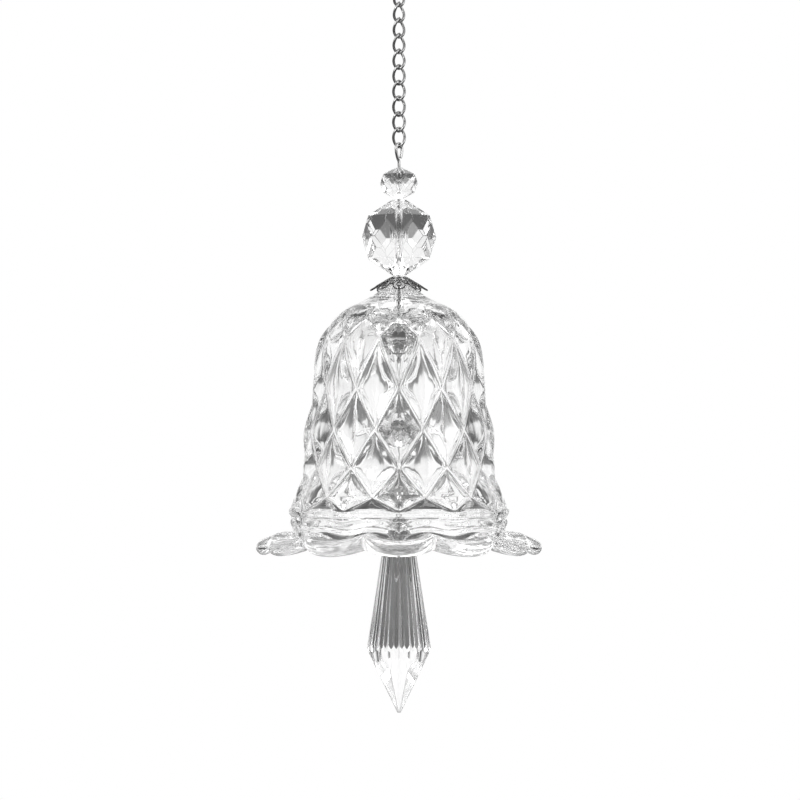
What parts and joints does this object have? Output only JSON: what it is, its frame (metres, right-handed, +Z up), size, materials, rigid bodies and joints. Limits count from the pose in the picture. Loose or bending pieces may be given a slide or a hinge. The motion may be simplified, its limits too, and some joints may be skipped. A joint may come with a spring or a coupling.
{
  "type": "crystal suncatcher",
  "caption": "Hanging suncatcher: a clear pressed glass bell with a scalloped rim under faceted beads on a wire chain, with a fluted icicle prism hung inside it.",
  "frame": {"origin": "inner face of the top of the hanging ring, where a hook carries it", "axes": "+Z up along the hanging line, +X to the right as pictured, -Y to the viewer"},
  "size_m": [0.077, 0.077, 0.2118],
  "materials": {
    "silvered_wire": "silver plated",
    "clear_glass": "polished"
  },
  "bodies": {
    "hanging_ring": {"hanging_ring": "silvered_wire"},
    "chain_link_01": {"chain_link_01": "silvered_wire"},
    "chain_link_02": {"chain_link_02": "silvered_wire"},
    "chain_link_03": {"chain_link_03": "silvered_wire"},
    "chain_link_04": {"chain_link_04": "silvered_wire"},
    "chain_link_05": {"chain_link_05": "silvered_wire"},
    "chain_link_06": {"chain_link_06": "silvered_wire"},
    "chain_link_07": {"chain_link_07": "silvered_wire"},
    "chain_link_08": {"chain_link_08": "silvered_wire"},
    "chain_link_09": {"chain_link_09": "silvered_wire"},
    "chain_link_10": {"chain_link_10": "silvered_wire"},
    "chain_link_11": {"chain_link_11": "silvered_wire"},
    "eye_pin": {"eye_pin": "silvered_wire", "crimp_bead": "silvered_wire"},
    "neck_bead": {"neck_bead": "clear_glass"},
    "ball_bead": {"ball_bead": "clear_glass"},
    "glass_bell": {"glass_bell": "clear_glass", "outer_bead_cap": "silvered_wire", "inner_bead_cap": "silvered_wire"},
    "drop_pin": {"drop_pin": "silvered_wire"},
    "clapper_bead": {"clapper_bead": "clear_glass"},
    "drop_link_01": {"drop_link_01": "silvered_wire"},
    "drop_link_02": {"drop_link_02": "silvered_wire"},
    "prism_ring": {"prism_ring": "silvered_wire"},
    "icicle_prism": {"icicle_prism": "clear_glass"}
  },
  "joints": [
    {"name": "link_01_swing", "type": "hinge", "parent": "hanging_ring", "child": "chain_link_01", "pos_m": [0, 0, -0.0106], "axis": [1, 0, 0], "range_deg": [-30, 30]},
    {"name": "link_02_swing", "type": "hinge", "parent": "chain_link_01", "child": "chain_link_02", "pos_m": [0, 0, -0.01367], "axis": [0.0785, 0.9969, 0], "range_deg": [-30, 30]},
    {"name": "link_03_swing", "type": "hinge", "parent": "chain_link_02", "child": "chain_link_03", "pos_m": [0, 0, -0.01887], "axis": [0.9969, -0.0785, 0], "range_deg": [-30, 30]},
    {"name": "link_04_swing", "type": "hinge", "parent": "chain_link_03", "child": "chain_link_04", "pos_m": [0, 0, -0.02218], "axis": [0.2334, 0.9724, 0], "range_deg": [-30, 30]},
    {"name": "link_05_swing", "type": "hinge", "parent": "chain_link_04", "child": "chain_link_05", "pos_m": [0, 0, -0.02738], "axis": [0.9724, -0.2334, 0], "range_deg": [-30, 30]},
    {"name": "link_06_swing", "type": "hinge", "parent": "chain_link_05", "child": "chain_link_06", "pos_m": [0, 0, -0.03068], "axis": [0.3827, 0.9239, 0], "range_deg": [-30, 30]},
    {"name": "link_07_swing", "type": "hinge", "parent": "chain_link_06", "child": "chain_link_07", "pos_m": [0, 0, -0.03587], "axis": [0.9239, -0.3827, 0], "range_deg": [-30, 30]},
    {"name": "link_08_swing", "type": "hinge", "parent": "chain_link_07", "child": "chain_link_08", "pos_m": [0, 0, -0.03918], "axis": [0.5225, 0.8526, 0], "range_deg": [-30, 30]},
    {"name": "link_09_swing", "type": "hinge", "parent": "chain_link_08", "child": "chain_link_09", "pos_m": [0, 0, -0.04437], "axis": [0.8526, -0.5225, 0], "range_deg": [-30, 30]},
    {"name": "link_10_swing", "type": "hinge", "parent": "chain_link_09", "child": "chain_link_10", "pos_m": [0, 0, -0.04768], "axis": [0.6494, 0.7604, 0], "range_deg": [-30, 30]},
    {"name": "link_11_swing", "type": "hinge", "parent": "chain_link_10", "child": "chain_link_11", "pos_m": [0, 0, -0.05287], "axis": [0.7604, -0.6494, 0], "range_deg": [-30, 30]},
    {"name": "eye_pin_swing", "type": "hinge", "parent": "chain_link_11", "child": "eye_pin", "pos_m": [0, 0, -0.05615], "axis": [0.7071, 0.7071, 0], "range_deg": [-30, 30]},
    {"name": "neck_bead_spin", "type": "hinge", "parent": "eye_pin", "child": "neck_bead", "pos_m": [0, 0, -0.06695], "axis": [0, 0, 1], "continuous": true},
    {"name": "ball_bead_spin", "type": "hinge", "parent": "eye_pin", "child": "ball_bead", "pos_m": [0, 0, -0.08165], "axis": [0, 0, 1], "continuous": true},
    {"name": "glass_bell_spin", "type": "hinge", "parent": "eye_pin", "child": "glass_bell", "pos_m": [0, 0, -0.098], "axis": [0, 0, 1], "continuous": true},
    {"name": "drop_pin_swing", "type": "hinge", "parent": "eye_pin", "child": "drop_pin", "pos_m": [0, 0, -0.11375], "axis": [0, 1, 0], "range_deg": [-11.5, 11.5]},
    {"name": "clapper_bead_spin", "type": "hinge", "parent": "drop_pin", "child": "clapper_bead", "pos_m": [0, 0, -0.13365], "axis": [0, 0, 1], "continuous": true},
    {"name": "drop_link_01_swing", "type": "hinge", "parent": "drop_pin", "child": "drop_link_01", "pos_m": [0, 0, -0.14135], "axis": [1, 0, 0], "range_deg": [-11.5, 11.5]},
    {"name": "drop_link_02_swing", "type": "hinge", "parent": "drop_link_01", "child": "drop_link_02", "pos_m": [0, 0, -0.14463], "axis": [0, 1, 0], "range_deg": [-11.5, 11.5]},
    {"name": "prism_ring_swing", "type": "hinge", "parent": "drop_link_02", "child": "prism_ring", "pos_m": [0, 0, -0.14983], "axis": [1, 0, 0], "range_deg": [-11.5, 11.5]},
    {"name": "prism_swing", "type": "hinge", "parent": "prism_ring", "child": "icicle_prism", "pos_m": [0, 0, -0.158], "axis": [0, 1, 0], "range_deg": [-11.5, 11.5]}
  ]
}
